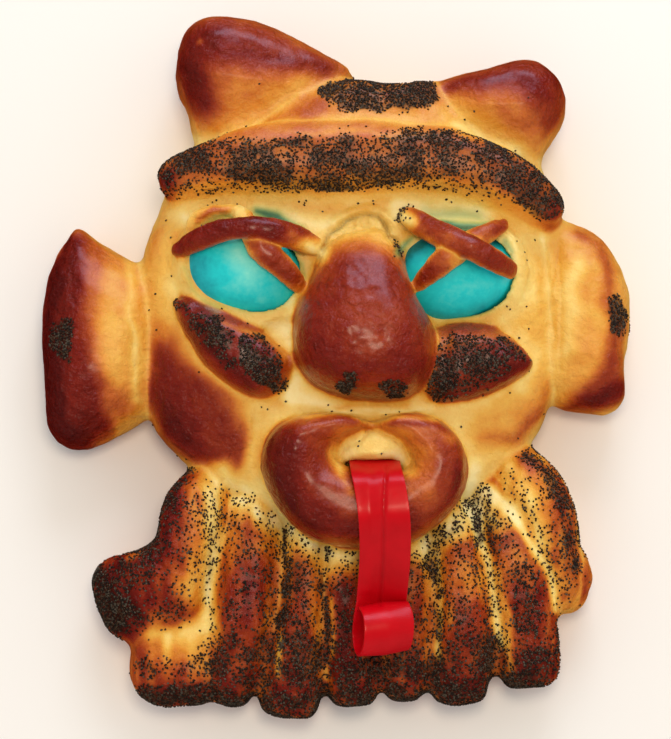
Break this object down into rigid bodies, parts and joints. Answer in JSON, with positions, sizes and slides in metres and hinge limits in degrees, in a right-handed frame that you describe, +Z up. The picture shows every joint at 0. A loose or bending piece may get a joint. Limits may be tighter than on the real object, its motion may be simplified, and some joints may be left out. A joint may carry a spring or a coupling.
{
  "type": "face-shaped challah",
  "caption": "Festive challah baked flat as a horned, bearded face, with dyed eggs for eyes, a red strip for a tongue and poppy seeds.",
  "frame": {"origin": "on the flat underside, below the middle of the loaf's box", "axes": "+Z up out of the face, +Y towards the horns at the top of the head, +X to the right as seen facing it"},
  "size_m": [0.26, 0.3092, 0.0798],
  "materials": {
    "golden_crust": "egg-washed bread crust, golden, satin",
    "brown_crust": "egg-washed bread crust, deep brown, glossy",
    "dark_crust": "egg-washed bread crust, dark red-brown, glossy",
    "seeded_crust": "bread crust covered with poppy seeds, rough",
    "pale_dough": "pale baked dough, satin",
    "dyed_egg": "dyed eggshell, turquoise, satin",
    "red_candy": "flat red strip, satin gloss"
  },
  "bodies": {
    "root": {"head": "golden_crust", "horn_left": "brown_crust", "horn_right": "brown_crust", "crown": "golden_crust", "ear_left": "brown_crust", "ear_right": "golden_crust", "beard_strand_1": "seeded_crust", "beard_strand_2": "seeded_crust", "beard_strand_3": "seeded_crust", "beard_strand_4": "seeded_crust", "beard_strand_5": "seeded_crust", "beard_strand_6": "seeded_crust", "beard_lobe_left": "seeded_crust", "beard_lower_strand": "seeded_crust", "beard_lobe_right": "seeded_crust", "beard_knob": "golden_crust", "brow": "seeded_crust", "lips": "dark_crust", "upper_lip": "pale_dough", "cheek_left": "seeded_crust", "cheek_right": "seeded_crust", "lid_left": "brown_crust", "strip_left_under": "brown_crust", "strip_left_over": "brown_crust", "strip_right_under": "brown_crust", "strip_right_over": "brown_crust", "nose": "dark_crust", "egg_left": "dyed_egg", "egg_right": "dyed_egg", "tongue": "red_candy"}
  },
  "joints": []
}
